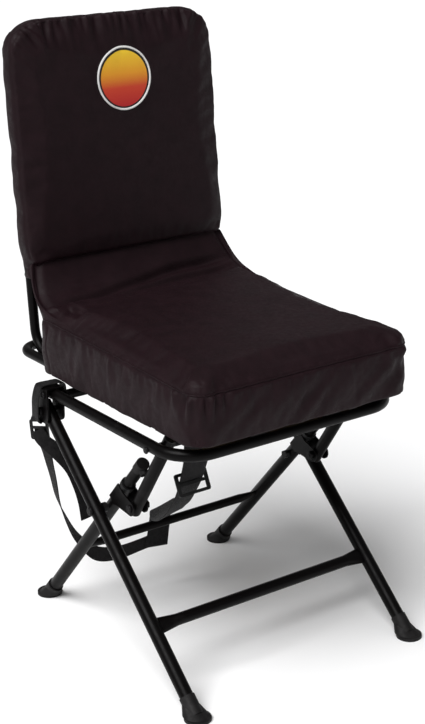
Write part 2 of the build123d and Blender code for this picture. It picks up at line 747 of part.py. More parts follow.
# Hand-set route: from the front cross rod, down behind the rear crossbar, up to the buckle.
WIDE_ROUTE = [
    ((-125.0, LINK_PIVOT[0] + 4.0, LINK_PIVOT[1] - 11.0), (1.0, 0.0, 0.0)),
    ((-124.0, -104.0, 356.0), (1.0, 0.0, 0.0)),
    ((-121.0, -84.0, 312.0), (1.0, 0.1, 0.0)),
    ((-112.0, -48.0, 268.0), (1.0, 0.2, 0.0)),
    ((-92.0, 10.0, 222.0), (1.0, 0.3, 0.0)),
    ((-56.0, 82.0, 184.0), (1.0, 0.3, 0.1)),
    ((-22.0, 140.0, 168.0), (1.0, 0.2, 0.1)),
    ((-8.0, 172.0, 136.0), (0.9, 0.1, 0.4)),
    ((-24.0, 172.0, 104.0), (0.6, 0.0, 1.0)),
    ((-54.0, 176.0, 88.0), (0.3, -0.1, 1.0)),
]
NARROW_ROUTE = [
    ((-54.0, 178.5, 88.0), (0.2, -0.2, 1.0)),
    ((-92.0, 184.0, 80.0), (0.1, 0.1, 1.0)),
    ((-128.0, 190.0, 88.0), (0.4, 0.5, 1.0)),
    ((-156.0, 196.0, 118.0), (0.6, 0.9, 0.6)),
    ((-178.0, 199.0, 160.0), (0.5, 1.0, 0.3)),
    ((-193.0, 200.0, 206.0), (0.2, 1.0, 0.1)),
    ((-202.0, 200.0, 256.0), (0.0, 1.0, 0.0)),
    ((-209.0, 201.5, 292.0), (-0.2, 1.0, 0.0)),
    ((-214.0, 204.0, 314.0), (-0.5, 1.0, 0.0)),
    ((-216.0, 204.5, 334.0), (-0.6, 1.0, 0.0)),
]
TAIL_ROUTE = [
    ((-226.5, 198.0, 334.0), (-0.6, 1.0, 0.0)),
    ((-229.0, 184.0, 310.0), (-0.3, 1.0, 0.3)),
    ((-229.5, 166.0, 276.0), (-0.1, 1.0, 0.3)),
    ((-229.5, 156.0, 240.0), (0.0, 1.0, 0.2)),
    ((-228.5, 152.0, 204.0), (0.1, 1.0, 0.1)),
    ((-227.5, 150.0, 172.0), (0.2, 1.0, 0.1)),
]


def rod_loop():
    """The wide webbing's turn round the front cross rod."""
    outer = CROSS_ROD_R + 1.0 + WEB
    ring = across(SLIDER_AT[0] - 28, SLIDER_AT[0] + 20, LINK_PIVOT, outer)
    return ring - across(SLIDER_AT[0] - 29, SLIDER_AT[0] + 21, LINK_PIVOT, CROSS_ROD_R + 0.6)


def anchor_loop():
    """Narrow webbing over the rear bracket, its two ends drawn together in the buckle."""
    crown = ((-210.0, 180.0, RAIL_TOP + PLATE + 2.4), (0.0, 1.0, 0.0))
    outer = [((-223.5, 198.0, BUCKLE_AT[2] + 19.0), (-0.4, 1.0, 0.0))]
    outer.append(((-233.8, 188.0, 356.5), (0.0, 1.0, 0.0)))
    outer.append(((-233.8, 181.0, 404.0), (0.0, 1.0, 0.0)))
    outer.append(((-231.6, 180.0, 414.8), (0.0, 1.0, 0.0)))
    outer.append(((-226.6, 180.0, 418.3), (0.0, 1.0, 0.0)))
    inner = [((-191.0, 180.0, 417.5), (0.0, 1.0, 0.0))]
    inner.append(((-185.5, 181.0, 406.0), (0.0, 1.0, 0.0)))
    inner.append(((-185.0, 193.0, 368.0), (0.0, 1.0, 0.0)))
    inner.append(((-199.0, 203.0, 354.0), (0.0, 1.0, 0.0)))
    inner.append(((-219.0, 206.0, BUCKLE_AT[2] + 19.0), (-0.4, 1.0, 0.0)))
    return [ribbon(run, NARROW - 4.0, 1.2) for run in (outer + [crown], [crown] + inner)]


def slider_buckle():
    """A three-bar moulded slider on the wide webbing."""
    frame = frame_ring((WIDE + 14, 36), (WIDE + 2, 26), 3.0, [(0.0, 5.0)])
    return Pos(*SLIDER_AT) * Rot(-25, 0, 4) * Pos(0, -6.0, 0) * frame


def strap_buckle():
    """A ladder buckle that joins the anchor loop to the narrow webbing."""
    frame = frame_ring((NARROW + 8, 34), (NARROW, 26), 4.0, [(3.0, 4.0), (-6.0, 4.0)])
    return Pos(*BUCKLE_AT) * Rot(-8, 0, -58) * frame


# ---- write every node ---------------------------------------------------------
def main():
    place("base_rail", base_rail())
    place("front_cross_rod", across(-RAIL_IN + 0.1, RAIL_IN - 0.1, LINK_PIVOT, CROSS_ROD_R))
    place("rear_cross_tube", bar(at(-RAIL_IN, REAR_TUBE), at(RAIL_IN, REAR_TUBE), FRAME_R, WALL))
    place("link_rivets", both(link_rivet))
    place("rear_brackets", both(rear_bracket))
    place("bracket_rivets", both(bracket_rivet))
    place("hinge_bolts", both(hinge_bolt))
    place("hinge_nuts", both(hinge_nut))

    place("swivel_bars", both(swivel_bar))
    place("swivel_plate_lower", swivel_plate(SWIVEL_BAR_TOP))
    place("swivel_race_lower", race(LOWER_TOP, BALL_Z - 0.7))
    place("bearing_balls", ball_ring())
    place("centre_bolt", centre_bolt())
    place("centre_nut", centre_nut())
    place("lower_plate_screws", plate_screws(LOWER_TOP, 10.0))

    place("swivel_race_upper", race(BALL_Z + 0.7, UPPER_BASE))
    place("swivel_plate_upper", swivel_plate(UPPER_BASE))
    place("upper_plate_screws", plate_screws(UPPER_TOP + SEAT_BAR, 8.0))
    place("seat_frame", seat_frame())
    place("seat_bars", [seat_bar(-72.0), seat_bar(72.0)])
    place("seat_board", seat_board())
    place("seat_foam", seat_foam())
    place("seat_cover", seat_cover())
    place("back_hinge_bolts", both(back_bolt))
    place("back_hinge_nuts", both(back_nut))
    place("back_hinge_washers", both(back_washer))
    place("back_stops", both(back_stop))

    place("back_frame", back_frame())
    place("back_cross_tubes", [back_cross_tube(60.0), back_cross_tube(230.0)])
    place("back_foam", back_foam())
    place("back_cover", back_cover())
    place("back_patch", back_patch())
    place("cover_flap", cover_flap())

    for side, name in ((1, "left"), (-1, "right")):
        place("front_leg_" + name, front_leg(side))
        place("rear_leg_" + name, rear_leg(side))
        place("lock_link_" + name, link(side))
    place("lock_plates", lock_plate(1) + lock_plate(-1))
    place("front_feet", [foot(side * FRONT_LEG_X, FRONT_FOOT_Y, FRONT_DOWN) for side in (1, -1)])
    place("rear_feet", [foot(side * REAR_LEG_X, REAR_FOOT_Y, REAR_DOWN, 13.4, 34.0) for side in (1, -1)])
    place("front_crossbar", front_crossbar())
    place("rear_crossbar", rear_crossbar())
    place("leg_tips", both(leg_tip))
    place("leg_collars", both(leg_collar))
    place("tip_bumpers", both(tip_bumper))
    place("link_plugs", link_cap(1) + link_cap(-1))
    place("lock_bolts", both(lock_bolt))
    place("lock_nuts", both(lock_nut))
    place("scissor_bolts", both(scissor_bolt))
    place("scissor_spacers", both(scissor_spacer))
    place("scissor_nuts", both(scissor_nut))

    place("strap_rod_loop", rod_loop())
    place("strap_wide", ribbon(WIDE_ROUTE, WIDE, WEB))
    place("strap_narrow", ribbon(NARROW_ROUTE, NARROW, WEB))
    place("strap_tail", ribbon(TAIL_ROUTE, NARROW, WEB))
    place("strap_anchor", anchor_loop())
    place("slider_buckle", slider_buckle())
    place("strap_buckle", strap_buckle())

    print("folded lock pin", folded_lock_pin(), "link pivot", LINK_PIVOT, "length", LINK_LENGTH)
    print("link fold", link_fold(), "middle Y", MIDDLE_Y, "front foot", FRONT_FOOT_Y)


main()
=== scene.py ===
import json
import math

import bpy
import numpy as np
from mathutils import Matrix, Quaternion, Vector, noise


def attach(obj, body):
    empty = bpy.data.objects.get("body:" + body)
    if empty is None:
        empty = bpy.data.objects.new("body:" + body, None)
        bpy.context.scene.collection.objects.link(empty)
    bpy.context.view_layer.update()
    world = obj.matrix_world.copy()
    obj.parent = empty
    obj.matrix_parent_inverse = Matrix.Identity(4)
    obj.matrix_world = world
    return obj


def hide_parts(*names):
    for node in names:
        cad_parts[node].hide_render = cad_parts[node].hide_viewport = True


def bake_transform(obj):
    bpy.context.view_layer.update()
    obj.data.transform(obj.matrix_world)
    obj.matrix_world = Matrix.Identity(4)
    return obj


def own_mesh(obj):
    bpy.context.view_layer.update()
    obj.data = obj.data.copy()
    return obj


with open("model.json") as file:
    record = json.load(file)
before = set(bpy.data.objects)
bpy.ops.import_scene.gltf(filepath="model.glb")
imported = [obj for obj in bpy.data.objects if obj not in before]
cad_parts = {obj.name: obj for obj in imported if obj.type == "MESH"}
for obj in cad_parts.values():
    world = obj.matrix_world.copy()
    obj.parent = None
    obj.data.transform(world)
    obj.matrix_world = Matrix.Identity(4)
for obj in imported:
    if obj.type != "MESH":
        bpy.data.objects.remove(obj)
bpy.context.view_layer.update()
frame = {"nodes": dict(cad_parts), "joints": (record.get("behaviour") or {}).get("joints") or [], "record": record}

MM = 0.001
JOINT = {joint["name"]: joint for joint in frame["joints"]}
SWIVEL_Y = JOINT["swivel"]["pos_m"][1] / MM

# ---- the chair's main places, in millimetres, with Y from the swivel's axis ----
SEAT_HALF = 212.0
SEAT_FRONT = -226.0
SEAT_REAR = 215.0
SEAT_BASE = 426.0           # the skirt's lower edge, which hangs past the seat frame's tube
SEAT_SEAM = 508.0           # the seam between the top panel and the sides, at the front
SEAT_TOP = 531.0
SEAT_RISE = 12.0            # how much higher the cushion's top is at its rear than at its front
SEAT_RISE_RUN = 400.0       # the length, front to rear, that it climbs over
SEAT_CORNER = 31.0
SEAT_REAR_CORNER = 16.0
SEAT_START_INSET = 4.0      # the block starts this much smaller, as it swells
FRAME_CLEAR = 452.0         # underside of the foam, over the seat frame's tube
SLOT_X = 178.0              # the back's feet run in a slot on each side of the cushion
SLOT_HALF = 11.0
SLOT_Y = (126.0, 240.0)
SLOT_Z = (415.0, 565.0)

BACK_HALF = 197.0
BACK_THICK = 50.0
BACK_SKIRT = 2.0            # the sleeve's lower end, as a height up the back
BACK_CREASE = 26.0          # the crease that the flap hangs from, likewise
BACK_TOP = 419.0
BACK_CORNER = 60.0
BACK_START_INSET = 3.0
FACE_Y = 246.0              # where the back's face starts, at the foot of the pad
FACE_Z = 563.0
RECLINE = math.atan(0.09)   # how far the back leans

VOXEL = 5.0                 # the pads' mesh size before they swell
SIM_FRAMES = 20
PRESSURE = 4.0
SLACK = 0.008               # how much larger than the block the cloth is cut
SEAT_PUFF = 9.0             # how far a point of each pad may move as it swells
BACK_PUFF = 7.0


def to_row(points):
    """Millimetres from the swivel's axis to metres in the row's frame."""
    return (np.asarray(points, float) + (0.0, SWIVEL_Y, 0.0)) * MM


def on_back(points):
    """Points given as (across, depth behind the face, height up the back) to millimetres."""
    points = np.asarray(points, float)
    c, s = math.cos(RECLINE), math.sin(RECLINE)
    y = FACE_Y + c * points[..., 1] + s * points[..., 2]
    z = FACE_Z - s * points[..., 1] + c * points[..., 2]
    return np.stack([points[..., 0], y, z], axis=-1)


def smoothstep(x, low, high):
    """0 below low, 1 above high, and a smooth step between them."""
    t = np.clip((np.asarray(x, float) - low) / (high - low), 0.0, 1.0)
    return t * t * (3.0 - 2.0 * t)


def hill(x, middle, width):
    """1 at middle, falling smoothly to near 0 about two widths away."""
    return np.exp(-(((np.asarray(x, float) - middle) / width) ** 2))


def field(points, size, seed=0.0):
    """Smooth noise, about -1 to 1, whose lumps are about size millimetres."""
    step = Vector((seed * 17.3, seed * 5.1, seed * 9.7))
    return np.array([noise.noise(Vector(p) / size + step) for p in points]) * 1.6


def cut_box(obj, low, high):
    """Takes a box, given by two corners in millimetres, out of a closed mesh."""
    corners = [(x, y, z) for z in (low[2], high[2]) for y in (low[1], high[1])
               for x in (low[0], high[0])]
    faces = [(0, 2, 3, 1), (4, 5, 7, 6), (0, 1, 5, 4), (2, 6, 7, 3), (0, 4, 6, 2), (1, 3, 7, 5)]
    cutter = mesh_object("cutter", to_row(corners), faces, smooth=False)
    modifier = obj.modifiers.new("slot", "BOOLEAN")
    modifier.operation = "DIFFERENCE"
    modifier.solver = "EXACT"
    modifier.object = cutter
    bake_modifiers(obj)
    bpy.data.objects.remove(cutter, do_unlink=True)


def streaks(along, across, width, length, seed=0.0):
    """Noise drawn out into soft folds of a width, running across for about a length."""
    points = np.stack([np.asarray(along) / width, np.asarray(across) / length,
                       np.full(len(along), seed * 7.7)], axis=1)
    return np.array([noise.noise(Vector(p)) for p in points]) * 1.7


# ---- meshes -------------------------------------------------------------------
def mesh_object(name, points, faces, smooth=True):
    mesh = bpy.data.meshes.new(name)
    mesh.from_pydata([tuple(p) for p in points], [], faces)
    mesh.update()
    obj = bpy.data.objects.new(name, mesh)
    bpy.context.scene.collection.objects.link(obj)
    mesh.polygons.foreach_set("use_smooth", [smooth] * len(mesh.polygons))
    return obj


def get_points(obj):
    points = np.empty(len(obj.data.vertices) * 3)
    obj.data.vertices.foreach_get("co", points)
    return points.reshape(-1, 3)


def get_normals(obj):
    normals = np.empty(len(obj.data.vertices) * 3)
    obj.data.update()
    obj.data.vertices.foreach_get("normal", normals)
    return normals.reshape(-1, 3)


def set_points(obj, points):
    obj.data.vertices.foreach_set("co", np.asarray(points, float).ravel())
    obj.data.update()


def bake_modifiers(obj):
    """The evaluated mesh becomes the piece's own, with no modifier left."""
    graph = bpy.context.evaluated_depsgraph_get()
    mesh = bpy.data.meshes.new_from_object(obj.evaluated_get(graph))
    obj.modifiers.clear()
    old = obj.data
    obj.data = mesh
    bpy.data.meshes.remove(old)
    obj.data.polygons.foreach_set("use_smooth", [True] * len(obj.data.polygons))
    return obj


def rounded_outline(half_x, low, high, corner, inset, count=10, high_corner=None):
    """A rounded rectangle, anticlockwise, moved in by inset; high_corner rounds its high end."""
    points = []
    for side_x, end, start in ((1, high, 0), (-1, high, 90), (-1, low, 180), (1, low, 270)):
        rounding = high_corner if high_corner and end == high else corner
        radius = max(rounding - inset, 1.0)
        centre_x = side_x * (half_x - rounding)
        centre_y = high - rounding if end == high else low + rounding
        for i in range(count + 1):
            angle = math.radians(start + 90 * i / count)
            points.append((centre_x + radius * math.cos(angle),
                           centre_y + radius * math.sin(angle)))
    return points


def pad_block(name, half_x, low, high, base, top, corner, base_edge, top_edge, high_corner=None):
    """A closed block with rounded corners: its outline lies in XY and its depth along Z."""
    levels = []
    for i in range(5):
        angle = math.radians(90 * i / 4)
        levels.append((base_edge * (1 - math.sin(angle)), base + base_edge * (1 - math.cos(angle))))
    for i in range(5):
        angle = math.radians(90 * i / 4)
        levels.append((top_edge * (1 - math.cos(angle)), top - top_edge * (1 - math.sin(angle))))
    points = []
    for inset, height in levels:
        outline = rounded_outline(half_x, low, high, corner, inset, high_corner=high_corner)
        points += [(x, y, height) for x, y in outline]
    ring = len(points) // len(levels)
    faces = [list(range(ring))[::-1]]
    for level in range(len(levels) - 1):
        for i in range(ring):
            j = (i + 1) % ring
            a = level * ring
            faces.append([a + i, a + j, a + ring + j, a + ring + i])
    faces.append([(len(levels) - 1) * ring + i for i in range(ring)])
    return mesh_object(name, points, faces)


def remesh(obj, size):
    modifier = obj.modifiers.new("remesh", "REMESH")
    modifier.mode = "VOXEL"
    modifier.voxel_size = size
    modifier.use_smooth_shade = True
    return bake_modifiers(obj)


def inflate(obj, held, cap):
    """Blows the pad up with Blender's cloth, its seams held; points are in millimetres.

    No point moves further than cap."""
    start = get_points(obj)
    set_points(obj, start * MM)
    group = obj.vertex_groups.new(name="held")
    for i, weight in enumerate(held):
        if weight > 0.0:
            group.add([i], float(weight), "REPLACE")
    modifier = obj.modifiers.new("cloth", "CLOTH")
    cloth = modifier.settings
    cloth.quality = 5
    cloth.mass = 0.3
    cloth.tension_stiffness = 20
    cloth.compression_stiffness = 20
    cloth.shear_stiffness = 6
    cloth.bending_stiffness = 0.6
    cloth.use_pressure = True
    cloth.uniform_pressure_force = PRESSURE
    cloth.shrink_min = -SLACK
    cloth.shrink_max = -SLACK
    cloth.vertex_group_mass = "held"
    cloth.effector_weights.gravity = 0.0
    modifier.collision_settings.use_collision = False
    for frame_number in range(1, SIM_FRAMES + 1):
        bpy.context.scene.frame_set(frame_number)
    bake_modifiers(obj)
    bpy.context.scene.frame_set(1)
    moved = get_points(obj) / MM - start
    length = np.linalg.norm(moved, axis=1, keepdims=True)
    set_points(obj, start + moved * np.minimum(1.0, cap / np.maximum(length, 1e-9)))
    obj.vertex_groups.clear()
    return obj


def subdivide(obj, levels=1):
    modifier = obj.modifiers.new("smooth", "SUBSURF")
    modifier.levels = levels
    modifier.render_levels = levels
    return bake_modifiers(obj)


def push(obj, amount):
    """Moves each point out along its normal."""
    set_points(obj, get_points(obj) + get_normals(obj) * np.asarray(amount)[:, None])


def spline_points(stations, step):
    """Evenly spaced points on a smooth line through the stations, and the line's length.

    A station is a point, with any further values after it."""
    stations = np.asarray(stations, float)
    ends = np.vstack([2 * stations[0] - stations[1], stations, 2 * stations[-1] - stations[-2]])
    dense = []
    for i in range(len(stations) - 1):
        a, b, c, d = ends[i:i + 4]
        for t in np.linspace(0, 1, 40, endpoint=False):
            dense.append(0.5 * (2 * b + (c - a) * t + (2 * a - 5 * b + 4 * c - d) * t * t
                                + (3 * b - a - 3 * c + d) * t ** 3))
    dense.append(stations[-1])
    dense = np.array(dense)
    run = np.concatenate([[0], np.cumsum(np.linalg.norm(np.diff(dense[:, :3], axis=0), axis=1))])
    count = max(2, int(round(run[-1] / step)) + 1)
    places = np.linspace(0, run[-1], count)
    columns = [np.interp(places, run, dense[:, k]) for k in range(dense.shape[1])]
    return np.stack(columns, axis=1), run[-1]


def tube_along(name, path, radius, closed=False, sides=8):
    """A round cord of stitching or piping along points in millimetres."""
    path = np.asarray(path, float)
    count = len(path)
    points, faces = [], []
    up = None
    for i in range(count):
        a = path[(i - 1) % count] if closed or i else path[0]
        b = path[(i + 1) % count] if closed or i < count - 1 else path[-1]
        run = (b - a) / max(np.linalg.norm(b - a), 1e-9)
        if up is None:
            up = np.array((0.0, 0.0, 1.0)) if abs(run[2]) < 0.9 else np.array((0.0, 1.0, 0.0))
        up = up - run * np.dot(up, run)
        up /= np.linalg.norm(up)
        side = np.cross(run, up)
        for k in range(sides):
            angle = 2 * math.pi * k / sides
            points.append(path[i] + radius * (math.cos(angle) * up + math.sin(angle) * side))
    for i in range(count if closed else count - 1):
        for k in range(sides):
            a = i * sides
            b = ((i + 1) % count) * sides
            faces.append([a + k, a + (k + 1) % sides, b + (k + 1) % sides, b + k])
    if not closed:
        faces.append(list(range(sides))[::-1])
        faces.append([(count - 1) * sides + k for k in range(sides)])
    return mesh_object(name, to_row(points), faces)


def webbing(name, stations, width, thickness, step=4.0, ripple=0.4):
    """Woven strap through (point, width direction) stations: flat, with a rounded selvedge."""
    flat = [list(point) + list(wide) for point, wide in stations]
    line, length = spline_points(flat, step)
    half, thick = width / 2, thickness / 2
    shares = [(-1.0, 0.0), (-0.94, 0.8), (-0.86, 1.0), (-0.4, 0.94),
              (0.0, 0.94), (0.4, 0.94), (0.86, 1.0), (0.94, 0.8)]
    profile = [(half * a, thick * b) for a, b in shares]
    profile += [(-a, -b) for a, b in profile]
    points, faces, uvs = [], [], []
    for i, row in enumerate(line):
        place = row[:3]
        run = line[min(i + 1, len(line) - 1)][:3] - line[max(i - 1, 0)][:3]
        run /= np.linalg.norm(run)
        wide = row[3:] - run * np.dot(row[3:], run)
        wide /= np.linalg.norm(wide)
        out = np.cross(run, wide)
        sway = ripple * math.sin(i * step * 0.09 + length)
        for a, b in profile:
            points.append(place + wide * a + out * (b + sway * (a / half) ** 2))
            uvs.append((a / width + 0.5, i * step / width))
    count = len(profile)
    for i in range(len(line) - 1):
        for k in range(count):
            a, b = i * count, (i + 1) * count
            faces.append([a + k, a + (k + 1) % count, b + (k + 1) % count, b + k])
    faces.append(list(range(count))[::-1])
    faces.append([(len(line) - 1) * count + k for k in range(count)])
    obj = mesh_object(name, to_row(points), faces)
    layer = obj.data.uv_layers.new(name="weave")
    for loop in obj.data.loops:
        layer.data[loop.index].uv = uvs[loop.vertex_index]
    return obj, length


# ---- materials ----------------------------------------------------------------
class Material:
    """A Principled material with a few helpers for its procedural detail."""

    def __init__(self, name, **values):
        self.material = bpy.data.materials.new(name)
        self.material.use_nodes = True
        self.nodes = self.material.node_tree.nodes
        self.links = self.material.node_tree.links
        self.shader = self.nodes["Principled BSDF"]
        for socket, value in values.items():
            self.shader.inputs[socket.replace("_", " ")].default_value = value
        self.place = self.nodes.new("ShaderNodeTexCoord")

    def node(self, kind, **inputs):
        node = self.nodes.new(kind)
        for socket, value in inputs.items():
            node.inputs[socket.replace("_", " ")].default_value = value
        return node

    def noise(self, scale, detail=3.0, coordinates="Object"):
        node = self.node("ShaderNodeTexNoise", Scale=scale, Detail=detail)
        self.links.new(self.place.outputs[coordinates], node.inputs["Vector"])
        return node.outputs["Fac"]

    def ramp(self, factor, stops):
        node = self.nodes.new("ShaderNodeValToRGB")
        elements = node.color_ramp.elements
        elements[0].position, elements[0].color = stops[0]
        elements[1].position, elements[1].color = stops[-1]
        for position, color in stops[1:-1]:
            element = elements.new(position)
            element.color = color
        self.links.new(factor, node.inputs["Fac"])
        return node.outputs["Color"]

    def map(self, factor, low, high, from_low=0.0, from_high=1.0):
        node = self.node("ShaderNodeMapRange", From_Min=from_low, From_Max=from_high,
                         To_Min=low, To_Max=high)
        self.links.new(factor, node.inputs["Value"])
        return node.outputs["Result"]

    def math(self, operation, a, b):
        node = self.nodes.new("ShaderNodeMath")
        node.operation = operation
        for socket, value in zip(node.inputs, (a, b)):
            if isinstance(value, (int, float)):
                socket.default_value = value
            else:
                self.links.new(value, socket)
        return node.outputs[0]

    def bump(self, height, strength, distance, under=None):
        node = self.node("ShaderNodeBump", Strength=strength, Distance=distance)
        self.links.new(height, node.inputs["Height"])
        if under is not None:
            self.links.new(under, node.inputs["Normal"])
        return node.outputs["Normal"]

    def connect(self, output, socket):
        self.links.new(output, self.shader.inputs[socket])


def rgb(r, g, b):
    return (r, g, b, 1.0)


def woven(name, dark, light, thread, rough, sheen, tint):
    """Plain-weave cloth: two sets of fine threads on whichever plane the surface faces."""
    m = Material(name, Sheen_Weight=sheen, Sheen_Roughness=0.4, Sheen_Tint=rgb(*tint),
                 Specular_IOR_Level=0.11)
    patch = m.noise(38.0, 4.0)
    m.connect(m.ramp(patch, [(0.3, rgb(*dark)), (0.7, rgb(*light))]), "Base Color")
    m.connect(m.map(m.noise(160.0, 2.0), rough - 0.07, rough + 0.07, 0.3, 0.7), "Roughness")
    axes = m.nodes.new("ShaderNodeSeparateXYZ")
    m.links.new(m.place.outputs["Object"], axes.inputs[0])
    normal = m.nodes.new("ShaderNodeNewGeometry")
    facing = m.nodes.new("ShaderNodeSeparateXYZ")
    m.links.new(normal.outputs["Normal"], facing.inputs[0])
    turns = 2 * math.pi / (thread * MM)
    wave = [m.math("SINE", m.math("MULTIPLY", axes.outputs[i], turns), 0.0) for i in range(3)]
    total = 0.0
    for i in range(3):
        pair = m.math("MULTIPLY", wave[(i + 1) % 3], wave[(i + 2) % 3])
        weight = m.math("POWER", m.math("ABSOLUTE", facing.outputs[i], 0.0), 2.0)
        total = m.math("ADD", m.math("MULTIPLY", pair, weight), total)
    soft = m.bump(m.noise(75.0, 5.0), 0.25, 0.0016)
    m.connect(m.bump(total, 0.5, 0.00016, soft), "Normal")
    return m.material


def powder_coat(name, color, rough):
    """Satin powder coat: a fine orange peel, with rubbed and dusty patches."""
    m = Material(name, Specular_IOR_Level=0.08)
    rubbed = m.noise(26.0, 6.0)
    lighter = tuple(min(1.0, c * 1.7 + 0.004) for c in color)
    stops = [(0.35, rgb(*color)), (0.62, rgb(*color)), (0.8, rgb(*lighter))]
    m.connect(m.ramp(rubbed, stops), "Base Color")
    m.connect(m.map(m.noise(90.0, 4.0), rough - 0.06, rough + 0.09, 0.3, 0.7), "Roughness")
    m.connect(m.bump(m.noise(1500.0, 2.0), 0.22, 0.00012), "Normal")
    return m.material


def moulded(name, color, rough, grain, depth):
    """Moulded plastic or rubber with a fine grain and a dusty bloom."""
    m = Material(name, Specular_IOR_Level=0.18)
    dust = m.noise(60.0, 5.0)
    lighter = tuple(min(1.0, c * 1.9 + 0.004) for c in color)
    m.connect(m.ramp(dust, [(0.4, rgb(*color)), (0.75, rgb(*lighter))]), "Base Color")
    m.connect(m.map(m.noise(220.0, 3.0), rough - 0.08, rough + 0.08, 0.3, 0.7), "Roughness")
    m.connect(m.bump(m.noise(grain, 3.0), 0.35, depth), "Normal")
    return m.material


def webbing_material(name, color):
    """Ribbed strap: ribs across the width, and a herringbone of threads along it."""
    m = Material(name, Sheen_Weight=0.03, Sheen_Roughness=0.4, Specular_IOR_Level=0.12)
    uv = m.nodes.new("ShaderNodeSeparateXYZ")
    m.links.new(m.place.outputs["UV"], uv.inputs[0])
    across = m.math("SINE", m.math("MULTIPLY", uv.outputs[0], 2 * math.pi * 14), 0.0)
    along = m.math("SINE", m.math("MULTIPLY", uv.outputs[1], 2 * math.pi * 30), 0.0)
    lighter = tuple(c * 2.2 + 0.002 for c in color)
    stops = [(0.35, rgb(*color)), (0.75, rgb(*lighter))]
    m.connect(m.ramp(m.noise(120.0, 4.0), stops), "Base Color")
    m.connect(m.map(m.noise(300.0, 2.0), 0.58, 0.72, 0.3, 0.7), "Roughness")
    m.connect(m.bump(m.math("MULTIPLY", across, along), 0.6, 0.00035), "Normal")
    return m.material


def bare_steel(name, color):
    """Ground steel, a little uneven in tone."""
    m = Material(name, Metallic=1.0)
    stops = [(0.3, rgb(*color)), (0.7, rgb(*[c * 1.15 for c in color]))]
    m.connect(m.ramp(m.noise(140.0, 4.0), stops), "Base Color")
    m.connect(m.map(m.noise(400.0, 2.0), 0.28, 0.42, 0.3, 0.7), "Roughness")
    m.connect(m.bump(m.noise(900.0, 2.0), 0.1, 0.00005), "Normal")
    return m.material


def plywood_material(name):
    """Plywood with its grain along X."""
    m = Material(name, Roughness=0.62)
    grain = m.node("ShaderNodeTexNoise", Scale=14.0, Detail=6.0)
    stretch = m.nodes.new("ShaderNodeMapping")
    stretch.inputs["Scale"].default_value = (1.0, 14.0, 14.0)
    m.links.new(m.place.outputs["Object"], stretch.inputs["Vector"])
    m.links.new(stretch.outputs["Vector"], grain.inputs["Vector"])
    stops = [(0.3, rgb(0.30, 0.19, 0.10)), (0.7, rgb(0.50, 0.36, 0.22))]
    m.connect(m.ramp(grain.outputs["Fac"], stops), "Base Color")
    m.connect(m.bump(grain.outputs["Fac"], 0.2, 0.0003), "Normal")
    return m.material


MATERIALS = {
    "black_coated_steel": powder_coat("black_coated_steel", (0.0019, 0.0015, 0.0016), 0.34),
    "black_fastener": powder_coat("black_fastener", (0.009, 0.0085, 0.009), 0.30),
    "bearing_steel": bare_steel("bearing_steel", (0.50, 0.49, 0.48)),
    "black_rubber": moulded("black_rubber", (0.0055, 0.0050, 0.0052), 0.60, 700.0, 0.0002),
    "black_plastic": moulded("black_plastic", (0.006, 0.006, 0.0063), 0.42, 1100.0, 0.00012),
    "cover_cloth": woven("cover_cloth", (0.0082, 0.0028, 0.0042), (0.0118, 0.0043, 0.0062),
                         1.1, 0.54, 0.013, (0.62, 0.50, 0.56)),
    "strap_webbing": webbing_material("strap_webbing", (0.0050, 0.0046, 0.0050)),
    "foam": moulded("foam", (0.55, 0.52, 0.42), 0.85, 900.0, 0.0006),
    "plywood": plywood_material("plywood"),
}

for entry in frame["record"]["subparts"]:
    mesh = frame["nodes"][entry["node"]].data
    mesh.materials.clear()
    mesh.materials.append(MATERIALS[entry["material_slot"]])


def finish_piece(obj, slot, body=None, material=None):
    """Gives a piece its material, the one given or else its slot's, and the body it rides on if it rides on one.
    """
    obj.data.materials.clear()
    obj.data.materials.append(material or MATERIALS[slot])
    if body:
        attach(obj, body)
    return obj


# ---- seat cushion -------------------------------------------------------------
def outline_inset(points, half_x, low, high, corner):
    """How far inside a rounded rectangle each point lies."""
    qx = np.abs(points[:, 0]) - (half_x - corner)
    middle = (low + high) / 2
    qy = np.abs(points[:, 1] - middle) - ((high - low) / 2 - corner)
    outside = np.hypot(np.maximum(qx, 0), np.maximum(qy, 0)) + np.minimum(np.maximum(qx, qy), 0)
    return corner - outside


def seat_rise(y):
    """How far the cushion's top is lifted at y; it climbs towards the rear."""
    return SEAT_RISE * np.clip((y - SEAT_FRONT - 16.0) / SEAT_RISE_RUN, 0.0, 1.0)


